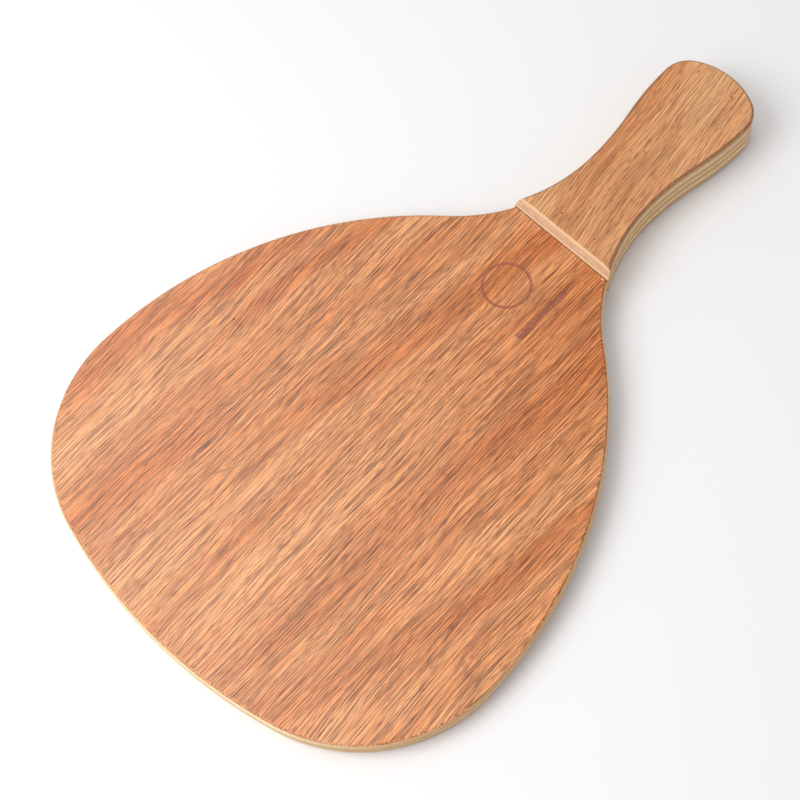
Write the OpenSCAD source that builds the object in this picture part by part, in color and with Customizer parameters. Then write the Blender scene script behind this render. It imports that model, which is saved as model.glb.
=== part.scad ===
// Wooden paddle: a teardrop blade cut from five-ply board, with a three-ply
// scale glued and pinned on each side of the grip. X runs along the paddle from the tip
// (-X) to the butt (+X), Y across it, Z through its thickness. The origin is
// under the middle of the paddle, on the outer face of the back scale.

/* [Blade outline] */
// Overall length, tip to butt
paddle_length = 332; // [270:2:420]
// Greatest width of the blade
blade_width = 214; // [170:2:260]
// Radius of the shallow curve across the tip
tip_radius = 222; // [180:2:320]
// Radius of the round corners beside the tip
corner_radius = 67; // [50:1:80]

/* [Grip outline] */
// Radius of the hollow where the blade runs into the grip
neck_radius = 75; // [50:1:90]
// Width of the grip at its waist
waist_width = 33; // [24:0.5:38]
// Distance from the butt to the waist
waist_from_butt = 68; // [55:1:85]
// Greatest width of the grip, near the butt
butt_width = 44; // [39:1:50]
// Radius of the round corners of the butt
butt_corner_radius = 13; // [8:1:19]
// Radius of the curve across the end of the butt
butt_end_radius = 32; // [24:1:60]
// Length of the scales where they meet the blade, from the butt
scale_length = 104; // [80:1:125]

/* [Layers] */
// Thickness of each face veneer of the blade
blade_veneer = 0.6; // [0.4:0.1:2]
// Thickness of each crossband of the blade
blade_crossband = 3.2; // [1.5:0.1:4.5]
// Thickness of the middle ply of the blade
blade_core = 1.2; // [0.6:0.1:3]
// Thickness of the outer and inner veneers of a scale
scale_veneer = 1.2; // [0.6:0.1:2]
// Thickness of the core ply of a scale
scale_core = 2.4; // [1.5:0.1:5]
// How far the blade end of a scale slopes back from its glue to its outer face
scale_end_run = 2.8; // [0:0.1:6]
// Thickness of the glue between a scale and the blade
glue_film = 0.2; // [0.1:0.05:0.4]

/* [Pins] */
// Diameter of the headless pins that hold each scale while its glue sets
pin_diameter = 0.7; // [0.5:0.1:1.4]
// How far the pins are sunk below the face of the scale
pin_sunk = 0.4; // [0.2:0.1:1]
// How far the pins go into the blade
pin_in_blade = 5.4; // [3:0.1:8]
// Distance of the first pins from the blade end of the scale, at its glue
pin_from_scale_end = 8.5; // [5:0.5:15]
// Distance of the last pins from the butt
pin_from_butt = 7.5; // [6:0.5:12]
// Distance of the pins from the middle of their row
pin_side = 9; // [5:0.5:10]
// How far each row is off the centre line, so that the two sides' pins miss
pin_stagger = 1.5; // [1:0.1:2.5]

/* [Hidden] */

// Largest turn between two neighbouring points of a curve, in degrees
curve_step = 2;

// How far a cutting shape runs past what it cuts
past = 1;

// Layer heights, upwards from the outer face of the back scale
scale_depth = 2 * scale_veneer + scale_core;
blade_depth = 2 * blade_veneer + 2 * blade_crossband + blade_core;
blade_bottom = scale_depth + glue_film;
blade_top = blade_bottom + blade_depth;
front_scale_bottom = blade_top + glue_film;
paddle_depth = front_scale_bottom + scale_depth;

// Where the scales and their glue end, on the side of the blade
scale_end_x = paddle_length / 2 - scale_length;

// Pins: two near each end of a scale and one midway, on the front. The back's
// are the same places mirrored across the centre line.
pin_length = scale_depth + glue_film + pin_in_blade - pin_sunk;
first_pins_x = scale_end_x + pin_from_scale_end;
last_pins_x = paddle_length / 2 - pin_from_butt;
front_pin_places = [
    [first_pins_x, pin_side - pin_stagger],
    [first_pins_x, -pin_side - pin_stagger],
    [(first_pins_x + last_pins_x) / 2, pin_stagger],
    [last_pins_x, pin_side + pin_stagger],
    [last_pins_x, -pin_side + pin_stagger]
];

// The outline is a chain of arcs, each tangent to the next, worked out for the
// +Y side with the tip at x = 0 and mirrored for the other side.
half_blade = blade_width / 2;
half_waist = waist_width / 2;
half_butt = butt_width / 2;

// Tip and corner: both arcs touch, and the corner ends at the widest place
tip_turn = asin((half_blade - corner_radius) / (tip_radius - corner_radius));
tip_centre = [tip_radius, 0];
widest_x = tip_radius - (tip_radius - corner_radius) * cos(tip_turn);
corner_centre = [widest_x, half_blade - corner_radius];

// Shoulder: one long arc from the widest place to the neck. Its radius is the
// one that also touches the hollow of the neck.
neck_centre = [paddle_length - waist_from_butt, half_waist + neck_radius];
shoulder_run = neck_centre[0] - widest_x;
shoulder_drop = half_blade - half_waist;
shoulder_radius = (shoulder_run * shoulder_run + shoulder_drop * shoulder_drop)
    / (2 * shoulder_drop) - neck_radius;
shoulder_centre = [widest_x, half_blade - shoulder_radius];
shoulder_to_neck = neck_centre - shoulder_centre;
shoulder_end_angle = atan2(shoulder_to_neck[1], shoulder_to_neck[0]);

// Butt: the corner touches the end curve, and starts at the widest place
butt_turn = asin((half_butt - butt_corner_radius) / (butt_end_radius - butt_corner_radius));
butt_end_centre = [paddle_length - butt_end_radius, 0];
butt_corner_centre = butt_end_centre
    + (butt_end_radius - butt_corner_radius) * direction(butt_turn);

// Flare: two equal arcs, hollow then full, from the waist to the butt
flare_run = butt_corner_centre[0] - neck_centre[0];
flare_rise = half_butt - half_waist;
flare_radius = (flare_run * flare_run + flare_rise * flare_rise) / (4 * flare_rise);
flare_turn = 2 * atan2(flare_rise, flare_run);
flare_hollow_centre = [neck_centre[0], half_waist + flare_radius];
flare_full_centre = [butt_corner_centre[0], half_butt - flare_radius];

half_outline = concat(
    arc(tip_centre, tip_radius, 180, 180 - tip_turn),
    arc(corner_centre, corner_radius, 180 - tip_turn, 90),
    arc(shoulder_centre, shoulder_radius, 90, shoulder_end_angle),
    arc(neck_centre, neck_radius, 180 + shoulder_end_angle, 270),
    arc(flare_hollow_centre, flare_radius, 270, 270 + flare_turn),
    arc(flare_full_centre, flare_radius, 90 + flare_turn, 90),
    arc(butt_corner_centre, butt_corner_radius, 90, butt_turn),
    arc(butt_end_centre, butt_end_radius, butt_turn, 0)
);
last_point = len(half_outline) - 1;

// Unit vector at an angle
function direction(angle) = [cos(angle), sin(angle)];

// Points of an arc after its first, so that arcs can follow one another
function arc(centre, radius, from, to) =
    let (steps = ceil(abs(to - from) / curve_step))
    [for (i = [1:steps]) centre + radius * direction(from + (to - from) * i / steps)];

// Outline of the whole paddle, centred along its length
module paddle_outline() {
    other_half = [for (i = [last_point - 1:-1:0]) [half_outline[i][0], -half_outline[i][1]]];
    translate([-paddle_length / 2, 0])
        polygon(concat([[0, 0]], half_outline, other_half));
}

// Part of the outline that is glued, cut square at the blade end
module glued_outline() {
    intersection() {
        paddle_outline();
        translate([scale_end_x, -butt_width])
            square([scale_length + past, 2 * butt_width]);
    }
}

// Side view of a scale, as a block: from its glued height to its outer height it
// slopes back at the blade end, and it runs past both on the same slope
module scale_side(glued, outer) {
    away = sign(outer - glued) * past;
    slip = past * scale_end_run / scale_depth;
    rotate([90, 0, 0])
        linear_extrude(2 * butt_width, center = true)
            polygon([
                [scale_end_x - slip, glued - away],
                [scale_end_x + scale_end_run + slip, outer + away],
                [paddle_length / 2 + past, outer + away],
                [paddle_length / 2 + past, glued - away]
            ]);
}

// The pins of the front, from their points upwards; extra lengthens them
module front_pins(extra = 0) {
    for (place = front_pin_places)
        translate([place[0], place[1], paddle_depth - pin_sunk - pin_length])
            cylinder(d = pin_diameter, h = pin_length + extra, $fn = 24);
}

// The pins of the back, from the face of the scale up to their points
module back_pins(extra = 0) {
    for (place = front_pin_places)
        translate([place[0], -place[1], pin_sunk - extra])
            cylinder(d = pin_diameter, h = pin_length + extra, $fn = 24);
}

// A layer bored for the pins of both sides, right out through the faces
module bored() {
    difference() {
        children();
        front_pins(pin_sunk + past);
        back_pins(pin_sunk + past);
    }
}

// One layer of the blade, from its bottom height
module blade_layer(bottom, thickness) {
    bored() translate([0, 0, bottom]) linear_extrude(thickness) paddle_outline();
}

// The glue under one scale, from its bottom height
module glue_layer(bottom) {
    bored() translate([0, 0, bottom]) linear_extrude(glue_film) glued_outline();
}

// One ply of the front scale, from its bottom height
module front_ply(bottom, thickness) {
    bored() intersection() {
        translate([0, 0, bottom]) linear_extrude(thickness) paddle_outline();
        scale_side(front_scale_bottom, paddle_depth);
    }
}

// One ply of the back scale, from its bottom height
module back_ply(bottom, thickness) {
    bored() intersection() {
        translate([0, 0, bottom]) linear_extrude(thickness) paddle_outline();
        scale_side(scale_depth, 0);
    }
}

module blade_back_veneer() {
    color("#E2A06C") blade_layer(blade_bottom, blade_veneer);
}

module blade_back_crossband() {
    color("#B98D5E") blade_layer(blade_bottom + blade_veneer, blade_crossband);
}

module blade_core_ply() {
    color("#EBCBA0") blade_layer(blade_bottom + blade_veneer + blade_crossband, blade_core);
}

module blade_front_crossband() {
    color("#B98D5E") blade_layer(blade_top - blade_veneer - blade_crossband, blade_crossband);
}

module blade_front_veneer() {
    color("#DB965F") blade_layer(blade_top - blade_veneer, blade_veneer);
}

module front_glue_film() {
    color("#7A4E32") glue_layer(blade_top);
}

module front_scale_inner_veneer() {
    color("#E6C79C") front_ply(front_scale_bottom, scale_veneer);
}

module front_scale_core() {
    color("#B3925F") front_ply(front_scale_bottom + scale_veneer, scale_core);
}

module front_scale_outer_veneer() {
    color("#D08F5C") front_ply(front_scale_bottom + scale_veneer + scale_core, scale_veneer);
}

module back_glue_film() {
    color("#7A4E32") glue_layer(scale_depth);
}

module back_scale_inner_veneer() {
    color("#E6C79C") back_ply(scale_veneer + scale_core, scale_veneer);
}

module back_scale_core() {
    color("#B3925F") back_ply(scale_veneer, scale_core);
}

module back_scale_outer_veneer() {
    color("#D08F5C") back_ply(0, scale_veneer);
}

module front_scale_pins() {
    color("#6E6A66") front_pins();
}

module back_scale_pins() {
    color("#6E6A66") back_pins();
}

blade_front_veneer();
blade_front_crossband();
blade_core_ply();
blade_back_crossband();
blade_back_veneer();
front_glue_film();
front_scale_inner_veneer();
front_scale_core();
front_scale_outer_veneer();
back_glue_film();
back_scale_inner_veneer();
back_scale_core();
back_scale_outer_veneer();
front_scale_pins();
back_scale_pins();
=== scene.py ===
import math
import random

import bmesh
import bpy
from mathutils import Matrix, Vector, noise


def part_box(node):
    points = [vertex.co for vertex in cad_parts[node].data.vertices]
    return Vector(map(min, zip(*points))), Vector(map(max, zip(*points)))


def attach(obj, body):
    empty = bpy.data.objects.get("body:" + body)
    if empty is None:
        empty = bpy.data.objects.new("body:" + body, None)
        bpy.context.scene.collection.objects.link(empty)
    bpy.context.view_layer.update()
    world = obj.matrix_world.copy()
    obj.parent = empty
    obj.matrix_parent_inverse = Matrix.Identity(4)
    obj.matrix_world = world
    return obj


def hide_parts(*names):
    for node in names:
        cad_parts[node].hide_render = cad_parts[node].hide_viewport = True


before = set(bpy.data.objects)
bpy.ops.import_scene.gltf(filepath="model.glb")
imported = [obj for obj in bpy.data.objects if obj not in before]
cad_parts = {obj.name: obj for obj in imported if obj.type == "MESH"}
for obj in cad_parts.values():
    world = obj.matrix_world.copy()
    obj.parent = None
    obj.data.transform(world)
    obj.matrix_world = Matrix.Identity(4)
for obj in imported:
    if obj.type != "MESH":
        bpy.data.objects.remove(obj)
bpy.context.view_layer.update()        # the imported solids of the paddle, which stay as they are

bl_info = {
    "name": "Plywood paddle",
    "version": (1, 0, 0),
    "blender": (4, 5, 0),
    "location": "View3D > Sidebar > Paddle",
    "description": "Finished plies, glue lines and pins of a plywood paddle, on its packed solids",
    "category": "Add Mesh",
}

MM = 0.001
WELD = 0.01 * MM

# The outline is the same at every height, so one ply's wall serves for every board
OUTLINE_NODE = "blade_core_ply"
BLADE_NODES = (
    "blade_back_veneer", "blade_back_crossband", "blade_core_ply",
    "blade_front_crossband", "blade_front_veneer",
)
SCALE_LAYERS = ("inner_veneer", "core", "outer_veneer")


def low(node):
    """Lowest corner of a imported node."""
    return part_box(node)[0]


def high(node):
    """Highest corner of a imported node."""
    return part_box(node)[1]


TIP_X = low("blade_front_veneer").x
BLADE_BOTTOM = low("blade_back_veneer").z
BLADE_TOP = high("blade_front_veneer").z

# A scale ends over the blade at its glue, and slopes back from there: how far it
# goes back for each metre of height, and where its outer face ends
SCALE_END_X = low("front_glue_film").x
END_SLOPE = (low("back_scale_core").x - SCALE_END_X) / (
    high("back_scale_inner_veneer").z - low("back_scale_inner_veneer").z
)
SCALE_FACE_X = SCALE_END_X + END_SLOPE * high("back_scale_inner_veneer").z


def linear(code):
    """An sRGB hex colour such as "#D9A074", as linear red, green and blue."""
    levels = [int(code[place:place + 2], 16) / 255 for place in (1, 3, 5)]
    return tuple(v / 12.92 if v <= 0.04045 else ((v + 0.055) / 1.055) ** 2.4 for v in levels)


def length(title, about, default):
    """A length property, in metres."""
    return bpy.props.FloatProperty(
        name=title, description=about, default=default, min=0.0, precision=5, unit="LENGTH"
    )


def colour(title, about, code):
    """A colour property, from an sRGB hex code."""
    return bpy.props.FloatVectorProperty(
        name=title, description=about, default=linear(code), min=0.0, max=1.0, subtype="COLOR"
    )


class PaddleSizes(bpy.types.PropertyGroup):
    blade_ease: length("Eased blade edge", "Width of the sanded bevel round the blade", 1.6 * MM)
    grip_ease: length("Eased grip edge", "Width of the sanded bevel round the grip", 1.3 * MM)
    pin_hole: length("Pin hole", "Diameter of the hole that a sunk pin leaves", 0.95 * MM)
    bead: length("Glue bead", "Radius of the glue squeezed out at the end of a scale", 0.3 * MM)
    pore_length: length("Pore length", "Length of the open pores in the face veneers", 6.0 * MM)
    pore_width: length("Pore width", "Width of the open pores in the face veneers", 0.26 * MM)


class PaddleColours(bpy.types.PropertyGroup):
    face_light: colour("Face, light", "Light bands of the blade's face veneer", "#DF9A63")
    face_deep: colour("Face, deep", "Deep bands of the blade's face veneer", "#C67238")
    grip_light: colour("Grip, light", "Light bands of the grip's face veneer", "#E6AB76")
    grip_deep: colour("Grip, deep", "Deep bands of the grip's face veneer", "#D18B55")
    pore: colour("Pores", "Open pores of the face veneers", "#7E4824")
    long_grain: colour("Inner plies, along", "Inner plies cut along the fibres", "#F9E0B2")
    end_grain: colour("Inner plies, across", "Inner plies cut across the fibres", "#CB9C68")
    glue_line: colour("Glue line", "Old glue between the plies", "#7A5030")
    white_glue: colour("Dry white glue", "Drops of dried wood glue", "#EAD2BE")
    ink: colour("Stamp ink", "Faded brown ink of the stamp", "#96503A")
    steel: colour("Pins", "Dulled steel of the pins", "#6A655F")
    floor: colour("Floor", "Pale paper under the paddle", "#F6F6F7")


# ---------------------------------------------------------------- modelling


def only(piece):
    """Selects one piece alone and makes it active."""
    bpy.ops.object.select_all(action="DESELECT")
    piece.select_set(True)
    bpy.context.view_layer.objects.active = piece


def start_edit(piece):
    """Opens one piece in edit mode, with all of it selected."""
    only(piece)
    bpy.ops.object.mode_set(mode="EDIT")
    bpy.ops.mesh.select_all(action="SELECT")


def end_edit():
    bpy.ops.object.mode_set(mode="OBJECT")


def select_where(piece, kind, wanted):
    """In edit mode, selects the faces, edges or corners that a test picks, and no others."""
    bpy.ops.mesh.select_all(action="DESELECT")
    bpy.ops.mesh.select_mode(type=kind)
    mesh = bmesh.from_edit_mesh(piece.data)
    elements = {"VERT": mesh.verts, "EDGE": mesh.edges, "FACE": mesh.faces}[kind]
    for element in elements:
        if wanted(element):
            element.select_set(True)
    mesh.select_flush_mode()
    bmesh.update_edit_mesh(piece.data)


def pin_places(node):
    """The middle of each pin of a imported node, seen from above."""
    groups = []
    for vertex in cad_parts[node].data.vertices:
        spot = Vector((vertex.co.x, vertex.co.y))
        for group in groups:
            if (group[0] - spot).length < 2 * MM:
                group.append(spot)
                break
        else:
            groups.append([spot])
    middles = [sum(group, Vector((0, 0))) / len(group) for group in groups]
    return sorted(middles, key=lambda middle: (round(middle.x, 5), middle.y))


def board(name, bottom, top):
    """A plain board with the whole outline: a ply's outer wall, closed again at two heights."""
    bores = pin_places("front_scale_pins") + pin_places("back_scale_pins")
    piece = bpy.data.objects.new(name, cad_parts[OUTLINE_NODE].data.copy())
    bpy.context.scene.collection.objects.link(piece)
    piece.data.materials.clear()
    start_edit(piece)
    bpy.ops.mesh.remove_doubles(threshold=WELD)

    def not_outer_wall(face):
        middle = face.calc_center_median()
        flat = Vector((middle.x, middle.y))
        return abs(face.normal.z) > 0.5 or any((flat - bore).length < MM for bore in bores)

    select_where(piece, "FACE", not_outer_wall)
    bpy.ops.mesh.delete(type="FACE")
    depth = high(OUTLINE_NODE).z - low(OUTLINE_NODE).z
    bpy.ops.mesh.select_all(action="SELECT")
    bpy.ops.transform.translate(value=(0, 0, bottom - low(OUTLINE_NODE).z))
    select_where(piece, "VERT", lambda corner: corner.co.z > bottom + depth / 2)
    bpy.ops.transform.translate(value=(0, 0, top - bottom - depth))
    bpy.ops.mesh.edge_face_add()
    select_where(piece, "VERT", lambda corner: corner.co.z < (bottom + top) / 2)
    bpy.ops.mesh.edge_face_add()
    bpy.ops.mesh.select_all(action="SELECT")
    bpy.ops.mesh.tris_convert_to_quads()
    bpy.ops.mesh.normals_make_consistent(inside=False)
    end_edit()
    return piece


def ease_rim(piece, height, width, stop=math.inf):
    """Sands the rim at one height to a soft bevel, from the tip as far as x = stop."""
    start_edit(piece)

    def on_rim(edge):
        return all(
            abs(corner.co.z - height) < WELD and corner.co.x < stop for corner in edge.verts
        )

    select_where(piece, "EDGE", on_rim)
    bpy.ops.mesh.bevel(offset=width, segments=4, profile=0.36, affect="EDGES")
    end_edit()


def layer(source, name, bottom, top):
    """A copy of a board between two heights, closed where it was cut."""
    piece = bpy.data.objects.new(name, source.data.copy())
    bpy.context.scene.collection.objects.link(piece)
    heights = [vertex.co.z for vertex in piece.data.vertices]
    start_edit(piece)
    if bottom > min(heights) + WELD:
        bpy.ops.mesh.bisect(
            plane_co=(0, 0, bottom), plane_no=(0, 0, 1), use_fill=True, clear_inner=True
        )
    bpy.ops.mesh.select_all(action="SELECT")
    if top < max(heights) - WELD:
        bpy.ops.mesh.bisect(
            plane_co=(0, 0, top), plane_no=(0, 0, 1), use_fill=True, clear_outer=True
        )
    end_edit()
    return piece


def cut_end(piece, height, lean=0.0):
    """Cuts a piece off where the scales end at a height, and keeps the part towards the butt."""
    start_edit(piece)
    bpy.ops.mesh.bisect(
        plane_co=(SCALE_END_X, 0, height), plane_no=(1, 0, lean), use_fill=True, clear_inner=True
    )
    end_edit()


def join(pieces, name):
    """Joins pieces into one, with its place in its mesh."""
    bpy.ops.object.select_all(action="DESELECT")
    for piece in pieces:
        piece.select_set(True)
    bpy.context.view_layer.objects.active = pieces[0]
    if len(pieces) > 1:
        bpy.ops.object.join()
    joined = bpy.context.view_layer.objects.active
    joined.name = name
    only(joined)
    bpy.ops.object.transform_apply(location=True, rotation=True, scale=True)
    return joined


def lump(place, halves, turn, roughness, dice):
    """A small uneven lump, used to cut pits and to stand for drops."""
    bpy.ops.mesh.primitive_ico_sphere_add(subdivisions=2, radius=1, location=place)
    piece = bpy.context.active_object
    start = dice.uniform(0, 100)
    for vertex in piece.data.vertices:
        vertex.co *= 1 + roughness * noise.noise(vertex.co * 1.7 + Vector((start, 0, 0)))
    piece.scale = halves
    piece.rotation_euler = (0, 0, turn)
    return piece


def carve(piece, cutters):
    """Cuts small shapes out of a piece, one after another."""
    for cutter in cutters:
        only(piece)
        cut = piece.modifiers.new("cut", "BOOLEAN")
        cut.object = cutter
        cut.operation = "DIFFERENCE"
        cut.solver = "EXACT"
        bpy.ops.object.modifier_apply(modifier=cut.name)
        bpy.data.objects.remove(cutter)
        if not piece.data.polygons:
            raise RuntimeError(f"{piece.name} was lost as its small gaps were cut")


def wall_faces(piece):
    """The upright faces of a piece as (middle, outward direction), in a fixed order."""
    found = [
        (face.center.copy(), face.normal.copy())
        for face in piece.data.polygons
        if abs(face.normal.z) < 0.3 and face.area > MM * MM
    ]
    return sorted(found, key=lambda item: (round(item[0].x, 5), round(item[0].y, 5)))


def void_cutters(piece, chosen, extra, dice):
    """Cutters for the small gaps and knots that show in the sawn edge of a ply."""
    walls = wall_faces(piece)
    spots = [
        min(walls, key=lambda wall: (Vector((x * MM, y * MM)) - wall[0].xy).length)
        for x, y in chosen
    ] + [dice.choice(walls) for _ in range(extra)]
    depth = max(vertex.co.z for vertex in piece.data.vertices) - min(
        vertex.co.z for vertex in piece.data.vertices
    )
    cutters = []
    for middle, outward in spots:
        halves = tuple(
            dice.uniform(least, most) * MM for least, most in ((0.3, 0.6), (0.3, 0.9), (0.2, 0.4))
        )
        rise = dice.uniform(-0.25, 0.25) * depth
        turn = math.atan2(outward.y, outward.x)
        cutters.append(lump(middle + Vector((0, 0, rise)), halves, turn, 0.35, dice))
    return cutters


def finish(piece, node, material):
    """Smooths a piece, gives it its material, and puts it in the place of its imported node."""
    only(piece)
    bpy.ops.object.shade_smooth_by_angle(angle=math.radians(32))
    flatten = piece.modifiers.new("flat faces stay flat", "WEIGHTED_NORMAL")
    flatten.keep_sharp = True
    bpy.ops.object.modifier_apply(modifier=flatten.name)
    if not piece.data.materials:
        piece.data.materials.append(material)
    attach(piece, "root")
    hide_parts(node)


# ---------------------------------------------------------------- materials


def add_node(tree, kind, inputs=None, **settings):
    """Adds a shader node with its settings; each input is a value or another node's output."""
    new = tree.nodes.new(kind)
    for name, value in settings.items():
        setattr(new, name, value)
    for socket, value in (inputs or {}).items():
        if isinstance(value, bpy.types.NodeSocket):
            tree.links.new(value, new.inputs[socket])
        else:
            new.inputs[socket].default_value = value
    return new


def start_material(name):
    """A new material: its node tree, its surface shader and the paddle's own coordinates."""
    material = bpy.data.materials.new(name)
    material.use_nodes = True
    tree = material.node_tree
    tree.nodes.clear()
    surface = add_node(tree, "ShaderNodeBsdfPrincipled")
    add_node(tree, "ShaderNodeOutputMaterial", {"Surface": surface.outputs[0]})
    place = add_node(tree, "ShaderNodeTexCoord").outputs["Object"]
    return material, tree, surface, place


def grain(tree, place, turn, size, detail=2.0, start=0.0):
    """Noise drawn out along the fibres: size is its length, width and depth in metres."""
    along = add_node(tree, "ShaderNodeMapping", {
        "Vector": place, "Location": (start, start, 0), "Rotation": (0, 0, turn), "Scale": size,
    }, vector_type="TEXTURE")
    pattern = add_node(tree, "ShaderNodeTexNoise", {
        "Vector": along.outputs[0], "Scale": 1.0, "Detail": detail, "Roughness": 0.55,
    })
    return pattern.outputs[0]


def pores(tree, place, turn, size, start=0.0):
    """Separate open pores, 1 in the middle of each and 0 between them."""
    along = add_node(tree, "ShaderNodeMapping", {
        "Vector": place, "Location": (start, 0, 0), "Rotation": (0, 0, turn), "Scale": size,
    }, vector_type="TEXTURE")
    cells = add_node(tree, "ShaderNodeTexVoronoi", {"Vector": along.outputs[0], "Scale": 1.0})
    return ramp(tree, cells.outputs["Distance"], 0.38, 0.12)


def ramp(tree, value, zero_at, one_at):
    """A value brought to 0 at one level and to 1 at another."""
    return add_node(tree, "ShaderNodeMapRange", {
        "Value": value, "From Min": zero_at, "From Max": one_at,
    }).outputs[0]


def sum_of(tree, operation, first, second):
    """Two values combined by a sum, product or other operation."""
    return add_node(tree, "ShaderNodeMath", {0: first, 1: second}, operation=operation).outputs[0]


def blend(tree, amount, first, second, kind="MIX"):
    """Two colours mixed by an amount."""
    colours = [
        (*value, 1.0) if not isinstance(value, bpy.types.NodeSocket) else value
        for value in (first, second)
    ]
    mixed = add_node(
        tree, "ShaderNodeMix", {0: amount, 6: colours[0], 7: colours[1]},
        data_type="RGBA", blend_type=kind,
    )
    return mixed.outputs[2]


def wander(tree, place, size, reach):
    """Lets the fibres run a little out of straight, by up to about reach in metres."""
    drift = grain(tree, place, 0.0, size, detail=1.0)
    shift = add_node(tree, "ShaderNodeMapRange", {"Value": drift, "To Min": -reach, "To Max": reach})
    sideways = add_node(tree, "ShaderNodeCombineXYZ", {"Y": shift.outputs[0], "Z": 0.0})
    return add_node(
        tree, "ShaderNodeVectorMath", {0: place, 1: sideways.outputs[0]}, operation="ADD"
    ).outputs[0]


def spot(tree, place, middle, halves, turn=0.0, softness=0.3):
    """A soft-edged oval on a face: 1 inside and 0 outside. Sizes are in millimetres."""
    x, y = middle
    scale = (halves[0] * MM, halves[1] * MM, 1.0)
    local = add_node(tree, "ShaderNodeMapping", {
        "Vector": place, "Location": (x * MM, y * MM, 0), "Rotation": (0, 0, turn), "Scale": scale,
    }, vector_type="TEXTURE")
    away = add_node(tree, "ShaderNodeVectorMath", {0: local.outputs[0]}, operation="LENGTH")
    return ramp(tree, away.outputs["Value"], 1 + softness, 1 - softness)


def towards(tree, direction):
    """How far the surface faces a direction: 1 towards it, -1 away from it."""
    normal = add_node(tree, "ShaderNodeNewGeometry").outputs["Normal"]
    along = add_node(tree, "ShaderNodeVectorMath", {0: normal, 1: direction}, operation="DOT_PRODUCT")
    return along.outputs["Value"]


def facing(tree, direction):
    """How far the surface faces along a direction, either way: 0 to 1."""
    return sum_of(tree, "ABSOLUTE", towards(tree, direction), 0.0)


def sloped_end(tree):
    """1 on the sloped blade end of a scale, and 0 on its face and its sides."""
    return ramp(tree, towards(tree, (-1, 0, 0)), 0.4, 0.7)


def add_bump(tree, surface, height, depth):
    """Gives the surface a fine relief of the given depth in metres."""
    relief = add_node(tree, "ShaderNodeBump", {"Height": height, "Distance": depth, "Strength": 1.0})
    tree.links.new(relief.outputs[0], surface.inputs["Normal"])


def stamp(tree, place):
    """A plain stamp: a ring beside a bar, in worn ink."""
    middle = (33.0, 3.0)
    outer = spot(tree, place, middle, (10.5, 10.5), softness=0.02)
    inner = spot(tree, place, middle, (9.3, 9.3), softness=0.02)
    ring = sum_of(tree, "SUBTRACT", outer, inner)
    offset = add_node(tree, "ShaderNodeVectorMath", {
        0: place, 1: (middle[0] * MM, -16.0 * MM, 0),
    }, operation="SUBTRACT")
    split = add_node(tree, "ShaderNodeSeparateXYZ", {0: offset.outputs[0]})
    across = ramp(tree, sum_of(tree, "ABSOLUTE", split.outputs["X"], 0.0), 14.2 * MM, 13.9 * MM)
    up = ramp(tree, sum_of(tree, "ABSOLUTE", split.outputs["Y"], 0.0), 1.6 * MM, 1.4 * MM)
    bar = sum_of(tree, "MULTIPLY", across, up)
    shape = sum_of(tree, "MAXIMUM", ring, bar)
    worn = ramp(tree, grain(tree, place, 0.0, (1.6 * MM, 0.8 * MM, 1.0)), 0.2, 0.5)
    return sum_of(tree, "MULTIPLY", shape, worn)


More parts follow.
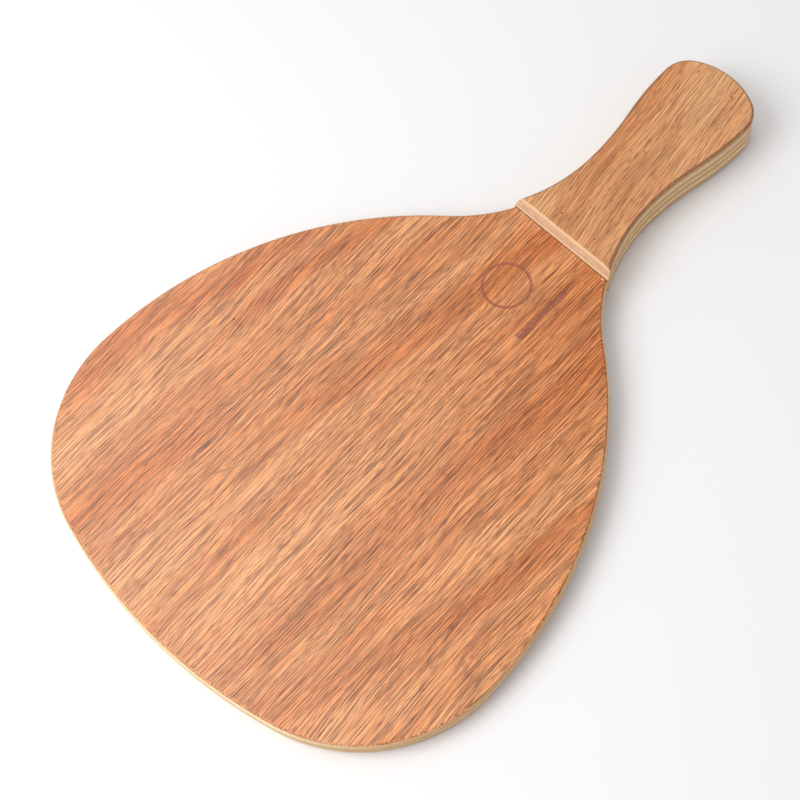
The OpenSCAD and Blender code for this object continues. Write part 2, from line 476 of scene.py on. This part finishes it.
def okoume_face(name, light, deep, turn, figure_turn, start, use):
    """Rotary-cut okoume veneer, sanded and left bare: pinkish tan with slanting deeper bands,
    short dark open pores along the fibres, pale fibres between them, and almost no shine. It is
    for the blade's "front" or "back", or for the "grip", which is worn smoother."""
    sizes = bpy.context.scene.paddle_sizes
    colours = bpy.context.scene.paddle_colours
    material, tree, surface, place = start_material(name)
    fibres = wander(tree, place, (70 * MM, 25 * MM, 25 * MM), 3.5 * MM)
    figure = grain(tree, fibres, figure_turn, (150 * MM, 13 * MM, 30 * MM), 3.0, start)
    band = ramp(tree, figure, 0.36, 0.66)
    tone = blend(tree, band, light, deep)
    if use == "front":
        # One broad deeper band crosses the blade from the corner to the neck
        band = spot(tree, fibres, (-35.0, 47.0), (110.0, 7.5), math.radians(-9.5), 0.75)
        low_band = spot(tree, fibres, (-75.0, -38.0), (60.0, 9.0), math.radians(-5.0), 0.85)
        deepen = sum_of(tree, "MAXIMUM", band, sum_of(tree, "MULTIPLY", low_band, 0.7))
        broken = ramp(tree, grain(tree, fibres, turn, (16 * MM, 4 * MM, 9 * MM), 3.0, 0.3), 0.3, 0.6)
        amount = sum_of(tree, "MULTIPLY", sum_of(tree, "MULTIPLY", deepen, broken), 0.75)
        tone = blend(tree, amount, tone, linear("#C3753F"))
    mottle = ramp(tree, grain(tree, fibres, turn, (15 * MM, 4.5 * MM, 9 * MM), 3.0, start), 0.45, 0.7)
    tone = blend(tree, sum_of(tree, "MULTIPLY", mottle, 0.22), tone, linear("#D27843"))
    streak = grain(tree, fibres, turn, (60 * MM, 2.2 * MM, 6 * MM), 3.0, start)
    tone = blend(tree, sum_of(tree, "MULTIPLY", ramp(tree, streak, 0.5, 0.8), 0.35), tone, deep)
    long_size, short_size = (24 * MM, 0.36 * MM, 0.36 * MM), (9 * MM, 0.3 * MM, 0.3 * MM)
    long_fibre = ramp(tree, grain(tree, fibres, turn, long_size, 1.0, 0.01), 0.4, 0.62)
    short_fibre = ramp(tree, grain(tree, fibres, turn, short_size, 1.0, 0.05), 0.36, 0.62)
    fibre = add_node(tree, "ShaderNodeMix", {0: 0.4, 2: long_fibre, 3: short_fibre}).outputs[0]
    if use == "grip":
        contrast = blend(tree, fibre, (0.5, 0.45, 0.4), (1.34, 1.38, 1.44))
    else:
        contrast = blend(tree, fibre, (0.24, 0.19, 0.14), (1.62, 1.68, 1.76))
    tone = blend(tree, 1.0, tone, contrast, kind="MULTIPLY")
    size = (sizes.pore_length, 2 * sizes.pore_width, 2 * sizes.pore_width)
    open_pores = pores(tree, fibres, turn, size, start)
    crowd = ramp(tree, grain(tree, fibres, turn, (30 * MM, 7 * MM, 7 * MM), 2.0, 0.2), 0.25, 0.55)
    open_pores = sum_of(tree, "MULTIPLY", open_pores, crowd)
    tone = blend(tree, sum_of(tree, "MULTIPLY", open_pores, 0.75), tone, tuple(colours.pore))
    if use == "front":
        # A painted sheen: a pale grey haze is added towards the tip and one corner, standing in for the
        # light's reflection
        split = add_node(
            tree, "ShaderNodeVectorMath", {0: place, 1: (-0.8, 0.6, 0)}, operation="DOT_PRODUCT"
        )
        painted_sheen = ramp(tree, split.outputs["Value"], -50 * MM, 120 * MM)
        tone = blend(tree, painted_sheen, tone, (0.068, 0.064, 0.062), kind="ADD")
        tone = blend(tree, sum_of(tree, "MULTIPLY", stamp(tree, place), 0.85), tone, tuple(colours.ink))
        flaws = (
            ((-40.0, 84.0), (8.0, 1.6), 2.0, "#B4532E", 0.55, 0.8),
            ((-52.7, 73.8), (0.55, 0.45), 0.0, "#6B3A22", 0.9, 0.3),
            ((-100.7, 29.0), (7.6, 0.35), -28.0, "#93664C", 0.5, 0.6),
            ((-88.3, -93.3), (1.3, 0.7), 0.0, "#B03A22", 0.6, 0.5),
            ((-100.4, -72.2), (1.0, 0.6), 0.0, "#B4482C", 0.6, 0.5),
        )
        for middle, halves, angle, code, strength, softness in flaws:
            mask = spot(tree, place, middle, halves, math.radians(angle), softness)
            tone = blend(tree, sum_of(tree, "MULTIPLY", mask, strength), tone, linear(code))
    # The sanded rim is dark all round the grip, and along one side of the blade, towards the neck, it is
    # darkened as painted shade on the side turned from the light; the sawn wall under the rim is lighter
    up = facing(tree, (0, 0, 1))
    rim = sum_of(tree, "MULTIPLY", ramp(tree, up, 0.985, 0.88), 0.65)
    if use == "grip":
        tone = blend(tree, rim, tone, linear("#7E4E30"))
        tone = blend(tree, sloped_end(tree), tone, linear("#F4C9A0"))
    else:
        # Painted shade: the blade's rim is darkened only on the side turned away from the light
        across = add_node(
            tree, "ShaderNodeVectorMath", {0: place, 1: (0.6, -0.8, 0)}, operation="DOT_PRODUCT"
        )
        painted_shade_side = ramp(tree, across.outputs["Value"], 45 * MM, 72 * MM)
        tone = blend(tree, sum_of(tree, "MULTIPLY", rim, painted_shade_side), tone, linear("#7E4E30"))
    tone = blend(tree, ramp(tree, up, 0.42, 0.25), tone, linear("#F6D8AC"))
    tree.links.new(tone, surface.inputs["Base Color"])
    roughness = add_node(
        tree, "ShaderNodeMapRange", {"Value": open_pores, "To Min": 0.48, "To Max": 0.7}
    )
    tree.links.new(roughness.outputs[0], surface.inputs["Roughness"])
    relief = sum_of(tree, "SUBTRACT", sum_of(tree, "MULTIPLY", fibre, 0.35), open_pores)
    add_bump(tree, surface, relief, 0.08 * MM)
    return material


def inner_ply(name, node, across, start, end_tone=None):
    """An inner ply of pale hardwood, seen only at its sawn and sanded edge: light and finely
    lined where it is cut along the fibres, darker and pitted where it is cut across them. A
    ply of a scale has one more tone, for its freshly sanded sloped end."""
    colours = bpy.context.scene.paddle_colours
    material, tree, surface, place = start_material(name)
    turn = math.radians(90) if across else 0.0
    direction = (0, 1, 0) if across else (1, 0, 0)
    lines = grain(tree, place, turn, (14 * MM, 0.5 * MM, 0.3 * MM), 3.0, start)
    bands = grain(tree, place, turn, (60 * MM, 9 * MM, 1.1 * MM), 2.0, start)
    cut_across = ramp(tree, facing(tree, direction), 0.25, 0.9)
    tone = blend(tree, cut_across, tuple(colours.long_grain), tuple(colours.end_grain))
    if end_tone:
        tone = blend(tree, sloped_end(tree), tone, end_tone)
    broad = sum_of(tree, "MULTIPLY", ramp(tree, bands, 0.4, 0.7), 0.3)
    tone = blend(tree, broad, tone, linear("#D9AF80"))
    fine = sum_of(tree, "MULTIPLY", ramp(tree, lines, 0.5, 0.68), 0.35)
    tone = blend(tree, fine, tone, linear("#B98B5C"))
    pits = pores(tree, place, turn, (5 * MM, 0.42 * MM, 0.42 * MM), start)
    patchy = ramp(tree, grain(tree, place, 0.0, (12 * MM, 12 * MM, 2 * MM), 2.0, start), 0.35, 0.65)
    pits = sum_of(tree, "MULTIPLY", pits, patchy)
    tone = blend(tree, sum_of(tree, "MULTIPLY", pits, 0.6), tone, linear("#6A4426"))
    # A thin dark line of glue shows where the ply meets its neighbours
    height = add_node(tree, "ShaderNodeSeparateXYZ", {0: place}).outputs["Z"]
    wobble = grain(tree, place, 0.0, (5 * MM, 5 * MM, 5 * MM), 2.0)
    height = sum_of(tree, "ADD", height, sum_of(tree, "MULTIPLY", wobble, 0.12 * MM))
    for joint in (low(node).z, high(node).z):
        gap = sum_of(tree, "ABSOLUTE", sum_of(tree, "SUBTRACT", height, joint + 0.06 * MM), 0.0)
        line = ramp(tree, gap, 0.16 * MM, 0.07 * MM)
        tone = blend(tree, sum_of(tree, "MULTIPLY", line, 0.45), tone, tuple(colours.glue_line))
    tree.links.new(tone, surface.inputs["Base Color"])
    surface.inputs["Roughness"].default_value = 0.68
    relief = sum_of(tree, "SUBTRACT", sum_of(tree, "MULTIPLY", lines, 0.5), pits)
    add_bump(tree, surface, relief, 0.15 * MM)
    return material


def dried_glue(name, tone, stain):
    """Wood glue, dried clear or white in uneven drops: smooth, a little glossy, and dirty."""
    material, tree, surface, place = start_material(name)
    dirt = ramp(tree, grain(tree, place, 0.0, (1.5 * MM, 1.5 * MM, 0.8 * MM), 3.0), 0.35, 0.65)
    tree.links.new(blend(tree, dirt, tone, stain), surface.inputs["Base Color"])
    shine = add_node(tree, "ShaderNodeMapRange", {"Value": dirt, "To Min": 0.3, "To Max": 0.6})
    tree.links.new(shine.outputs[0], surface.inputs["Roughness"])
    add_bump(tree, surface, grain(tree, place, 0.0, (0.4 * MM, 0.4 * MM, 0.4 * MM)), 0.05 * MM)
    return material


def drawn_steel(name, tone):
    """Thin steel wire, drawn, cut and gone dull: dark grey metal with scratches along it."""
    material, tree, surface, place = start_material(name)
    scratches = grain(tree, place, 0.0, (0.06 * MM, 0.06 * MM, 2 * MM), 3.0)
    rusted = ramp(tree, scratches, 0.45, 0.7)
    tree.links.new(blend(tree, rusted, tone, linear("#4A3A2E")), surface.inputs["Base Color"])
    surface.inputs["Metallic"].default_value = 1.0
    worn = add_node(tree, "ShaderNodeMapRange", {"Value": scratches, "To Min": 0.3, "To Max": 0.6})
    tree.links.new(worn.outputs[0], surface.inputs["Roughness"])
    return material


def pale_paper(name, tone):
    """The pale paper sweep that the paddle lies on."""
    material, _, surface, _ = start_material(name)
    surface.inputs["Base Color"].default_value = (*tone, 1.0)
    surface.inputs["Roughness"].default_value = 0.9
    surface.inputs["Specular IOR Level"].default_value = 0.1
    return material


# ---------------------------------------------------------------- pieces


class PADDLE_OT_blade(bpy.types.Operator):
    """Make the five plies of the blade, cut from one eased board"""
    bl_idname = "paddle.blade"
    bl_label = "Blade"

    def execute(self, context):
        sizes, colours = context.scene.paddle_sizes, context.scene.paddle_colours
        dice = random.Random(11)
        whole = board("whole_blade", BLADE_BOTTOM, BLADE_TOP)
        # The grip was sanded as one block, so the blade's rim is square between the scales
        ease_rim(whole, BLADE_TOP, sizes.blade_ease, SCALE_END_X)
        ease_rim(whole, BLADE_BOTTOM, sizes.blade_ease, SCALE_END_X)
        light, deep = tuple(colours.face_light), tuple(colours.face_deep)
        front = okoume_face("okoume_veneer_blade_front", light, deep, math.radians(2.5),
                            math.radians(-8), 0.0, "front")
        back = okoume_face("okoume_veneer_blade_back", light, deep, math.radians(-1.5),
                           math.radians(6), 0.6, "back")
        finishes = {
            "blade_back_veneer": ("blade_face_veneer", back),
            "blade_back_crossband": ("crossband", inner_ply(
                "hardwood_crossband_back", "blade_back_crossband", True, 0.2)),
            "blade_core_ply": ("inner_veneer", inner_ply(
                "hardwood_middle_ply", "blade_core_ply", False, 0.4)),
            "blade_front_crossband": ("crossband", inner_ply(
                "hardwood_crossband_front", "blade_front_crossband", True, 0.0)),
            "blade_front_veneer": ("blade_face_veneer", front),
        }
        # Gaps that show in the edge, near these places, and a few more all round
        gaps = {
            "blade_back_crossband": ((-51, -101), (-60, -103), (-144, -82), (-159, -48)),
            "blade_front_crossband": ((-130, -96), (20, -75)),
        }
        for node in BLADE_NODES:
            slot, material = finishes[node]
            ply = layer(whole, node.replace("blade_", "blade_ply_"), low(node).z, high(node).z)
            if node in gaps:
                carve(ply, void_cutters(ply, gaps[node], 9, dice))
            finish(ply, node, material)
        bpy.data.objects.remove(whole)
        return {"FINISHED"}


class PADDLE_OT_scales(bpy.types.Operator):
    """Make the three plies of each scale, eased along the sides and sloped at the blade"""
    bl_idname = "paddle.scales"
    bl_label = "Scales"

    def execute(self, context):
        sizes, colours = context.scene.paddle_sizes, context.scene.paddle_colours
        light, deep = tuple(colours.grip_light), tuple(colours.grip_deep)
        dice = random.Random(23)
        for side, outer_is_high in (("front", True), ("back", False)):
            nodes = [f"{side}_scale_{part}" for part in SCALE_LAYERS]
            bottom = min(low(node).z for node in nodes)
            top = max(high(node).z for node in nodes)
            outer = top if outer_is_high else bottom
            whole = board("whole_scale", bottom, top)
            ease_rim(whole, outer, sizes.grip_ease)
            cut_end(whole, bottom + top - outer, -END_SLOPE if outer_is_high else END_SLOPE)
            for node in nodes:
                ply = layer(whole, node.replace("_scale_", "_scale_ply_"), low(node).z, high(node).z)
                if node.endswith("outer_veneer"):
                    material = okoume_face(f"okoume_veneer_grip_{side}", light, deep,
                                           math.radians(8.5 if outer_is_high else -4),
                                           math.radians(14 if outer_is_high else 2), 0.35, "grip")
                    carve(ply, self.holes(side, outer, sizes.pin_hole, dice))
                    carve(ply, self.chips(ply, outer, dice))
                elif node.endswith("core"):
                    material = inner_ply(f"hardwood_core_{side}", node, True, 0.5, linear("#DFB593"))
                    carve(ply, void_cutters(ply, ((148, -20), (131, -19)), 5, dice))
                else:
                    material = inner_ply(f"hardwood_inner_{side}", node, False, 0.8, linear("#F4C9A0"))
                finish(ply, node, material)
            bpy.data.objects.remove(whole)
        return {"FINISHED"}

    @staticmethod
    def holes(side, outer, width, dice):
        """Cutters for the small ragged holes over the sunk pins."""
        cutters = []
        for place in pin_places(f"{side}_scale_pins"):
            halves = (0.5 * width * dice.uniform(0.9, 1.2), 0.5 * width, 0.6 * MM)
            turn = dice.uniform(0, math.pi)
            cutters.append(lump(Vector((place.x, place.y, outer)), halves, turn, 0.3, dice))
        return cutters

    @staticmethod
    def chips(ply, outer, dice):
        """Cutters for the splinters missing along the sawn end of the face veneer."""
        end = [
            v.co.y for v in ply.data.vertices
            if abs(v.co.z - outer) < WELD and v.co.x < SCALE_FACE_X + WELD
        ]
        cutters = []
        count = 9
        pitch = 0.94 * (max(end) - min(end)) / count
        for number in range(count):
            y = (number + dice.uniform(-0.2, 0.2) - (count - 1) / 2) * pitch
            place = Vector((SCALE_FACE_X - dice.uniform(0.05, 0.15) * MM, y, outer))
            halves = tuple(
                dice.uniform(least, most) * MM for least, most in ((0.25, 0.6), (0.4, 1.4), (0.2, 0.5))
            )
            cutters.append(lump(place, halves, 0.0, 0.4, dice))
        return cutters


class PADDLE_OT_glue(bpy.types.Operator):
    """Make the glue under each scale, with what was squeezed out at its blade end"""
    bl_idname = "paddle.glue"
    bl_label = "Glue"

    def execute(self, context):
        sizes, colours = context.scene.paddle_sizes, context.scene.paddle_colours
        dark = dried_glue("wood_glue_dark", tuple(colours.glue_line), linear("#4E3220"))
        white = dried_glue("wood_glue_white", tuple(colours.white_glue), linear("#C9A183"))
        dice = random.Random(5)
        for side in ("front", "back"):
            node = f"{side}_glue_film"
            bottom, top = low(node).z, high(node).z
            film = board("whole_film", bottom, top)
            cut_end(film, bottom)
            end = [v.co.y for v in film.data.vertices if v.co.x < SCALE_END_X + WELD]
            blade_face = bottom if side == "front" else top
            bead = self.bead(min(end), max(end), blade_face, sizes.bead, dice)
            for part in (film, bead):
                part.data.materials.append(dark)
            drops = self.drops(side, min(end), max(end), blade_face, dice)
            for drop in drops:
                drop.data.materials.append(white)
            finish(join([film, bead] + drops, f"{side}_glue_line"), node, dark)
        return {"FINISHED"}

    @staticmethod
    def bead(start, stop, height, radius, dice):
        """A thin uneven bead of glue across the blade, along the end of the scale."""
        span = stop - start - 2 * radius
        bpy.ops.mesh.primitive_cylinder_add(
            vertices=10, radius=radius, depth=span,
            location=(SCALE_END_X, (start + stop) / 2, height), rotation=(math.radians(90), 0, 0),
        )
        bead = bpy.context.active_object
        start_edit(bead)
        select_where(bead, "EDGE", lambda edge: edge.calc_length() > span / 2)
        bpy.ops.mesh.subdivide(number_cuts=70)
        end_edit()
        shift = Vector((0, 0, dice.uniform(0, 50)))
        for vertex in bead.data.vertices:
            swell = noise.noise(Vector((0, 0, vertex.co.z / (1.3 * MM))) + shift)
            fine = noise.noise(vertex.co / (0.5 * MM) + shift)
            factor = max(0.25, 0.9 + 0.9 * swell + 0.3 * fine)
            vertex.co.x *= factor
            vertex.co.y *= 0.7 * factor
        return bead

    @staticmethod
    def drops(side, start, stop, height, dice):
        """A few flat drops of white glue on the blade, close to the end of the scale."""
        places = [(SCALE_END_X - 0.9 * MM, start + 2.2 * MM), (SCALE_END_X - 7.6 * MM, start + 3.4 * MM)]
        for _ in range(4):
            places.append((SCALE_END_X - dice.uniform(0.4, 1.1) * MM, dice.uniform(start, stop) * 0.9))
        if side == "back":
            places = [(x - 2 * MM, -y) for x, y in places[2:]]
        made = []
        for x, y in places:
            halves = (dice.uniform(0.22, 0.42) * MM, dice.uniform(0.3, 0.6) * MM, 0.12 * MM)
            made.append(lump(Vector((x, y, height)), halves, dice.uniform(0, 3), 0.3, dice))
        return made


class PADDLE_OT_pins(bpy.types.Operator):
    """Make the headless pins of both scales"""
    bl_idname = "paddle.pins"
    bl_label = "Pins"

    def execute(self, context):
        steel = drawn_steel("dull_steel_wire", tuple(context.scene.paddle_colours.steel))
        for side in ("front", "back"):
            node = f"{side}_scale_pins"
            places = pin_places(node)
            bottom, top = low(node).z, high(node).z
            radius = (high(node).x - places[-1].x)
            pins = [self.pin(place, bottom, top, radius) for place in places]
            finish(join(pins, f"{side}_pins"), node, steel)
        return {"FINISHED"}

    @staticmethod
    def pin(place, bottom, top, radius):
        """One pin, with the edges of its cut ends dulled."""
        bpy.ops.mesh.primitive_cylinder_add(
            vertices=20, radius=radius, depth=top - bottom,
            location=(place.x, place.y, (bottom + top) / 2),
        )
        pin = bpy.context.active_object
        start_edit(pin)
        select_where(pin, "EDGE", lambda edge: abs(edge.verts[0].co.z - edge.verts[1].co.z) < WELD)
        bpy.ops.mesh.bevel(offset=0.2 * radius, segments=2, affect="EDGES")
        end_edit()
        return pin


# ---------------------------------------------------------------- stage


class PADDLE_OT_stage(bpy.types.Operator):
    """Make the floor, the soft light and the camera"""
    bl_idname = "paddle.stage"
    bl_label = "Stage"

    def execute(self, context):
        scene = context.scene
        scene.view_settings.view_transform = "Standard"
        self.floor(scene)
        aim = Vector((-32.3 * MM, -0.6 * MM, BLADE_TOP))
        camera = self.camera(aim)
        scene.camera = camera
        self.lights(aim)
        self.surroundings(scene)
        return {"FINISHED"}

    @staticmethod
    def floor(scene):
        """Pale paper, at the tilt at which the tip and the back scale's end rest on it."""
        ease = scene.paddle_sizes.blade_ease
        run = SCALE_FACE_X - (TIP_X + ease)
        lean = math.atan2(BLADE_BOTTOM, run)
        bpy.ops.mesh.primitive_plane_add(
            size=8, location=(SCALE_FACE_X, 0, low("back_scale_outer_veneer").z), rotation=(0, lean, 0)
        )
        floor = bpy.context.active_object
        floor.name = "floor"
        floor.data.materials.append(pale_paper("pale_paper", tuple(scene.paddle_colours.floor)))

    @staticmethod
    def camera(aim):
        azimuth, elevation, roll = (math.radians(a) for a in (-126.79, 66.58, -9.5))
        distance = 0.7508
        away = Vector((
            math.cos(elevation) * math.cos(azimuth),
            math.cos(elevation) * math.sin(azimuth),
            math.sin(elevation),
        ))
        turn = away.to_track_quat("Z", "Y")
        bpy.ops.object.camera_add(location=aim + distance * away, rotation=turn.to_euler())
        camera = bpy.context.active_object
        camera.rotation_euler.rotate_axis("Z", roll)
        camera.data.lens = 85.5
        camera.data.sensor_width = 36.0
        camera.data.clip_start = 0.01
        bpy.context.view_layer.update()
        return camera

    @staticmethod
    def lights(aim):
        """A large soft light past the tip, and a weaker one overhead."""
        for name, place, size, power in (
            ("key", Vector((-0.47, 0.225, 0.67)), 0.6, 4.6),
            ("top", Vector((0.1, 0.5, 1.1)), 1.0, 1.6),
        ):
            bpy.ops.object.light_add(
                type="AREA", location=aim + place, rotation=place.to_track_quat("Z", "Y").to_euler()
            )
            light = bpy.context.active_object
            light.name = name
            light.data.size = size
            light.data.energy = power

    @staticmethod
    def surroundings(scene):
        world = bpy.data.worlds.new("white_studio")
        scene.world = world
        world.use_nodes = True
        background = world.node_tree.nodes["Background"]
        background.inputs["Color"].default_value = (1.0, 1.0, 1.0, 1.0)
        background.inputs["Strength"].default_value = 0.58


class PADDLE_PT_panel(bpy.types.Panel):
    bl_label = "Plywood paddle"
    bl_idname = "PADDLE_PT_panel"
    bl_space_type = "VIEW_3D"
    bl_region_type = "UI"
    bl_category = "Paddle"

    def draw(self, context):
        for operator in OPERATORS:
            self.layout.operator(operator.bl_idname)
        for group in (context.scene.paddle_sizes, context.scene.paddle_colours):
            for name in group.__annotations__:
                self.layout.prop(group, name)


OPERATORS = (PADDLE_OT_blade, PADDLE_OT_scales, PADDLE_OT_glue, PADDLE_OT_pins, PADDLE_OT_stage)
CLASSES = (PaddleSizes, PaddleColours) + OPERATORS + (PADDLE_PT_panel,)


def register():
    for each in CLASSES:
        bpy.utils.register_class(each)
    bpy.types.Scene.paddle_sizes = bpy.props.PointerProperty(type=PaddleSizes)
    bpy.types.Scene.paddle_colours = bpy.props.PointerProperty(type=PaddleColours)


def unregister():
    del bpy.types.Scene.paddle_colours
    del bpy.types.Scene.paddle_sizes
    for each in reversed(CLASSES):
        bpy.utils.unregister_class(each)


def main():
    register()
    bpy.ops.paddle.blade()
    bpy.ops.paddle.scales()
    bpy.ops.paddle.glue()
    bpy.ops.paddle.pins()
    bpy.ops.paddle.stage()


if __name__ == "__main__":
    main()
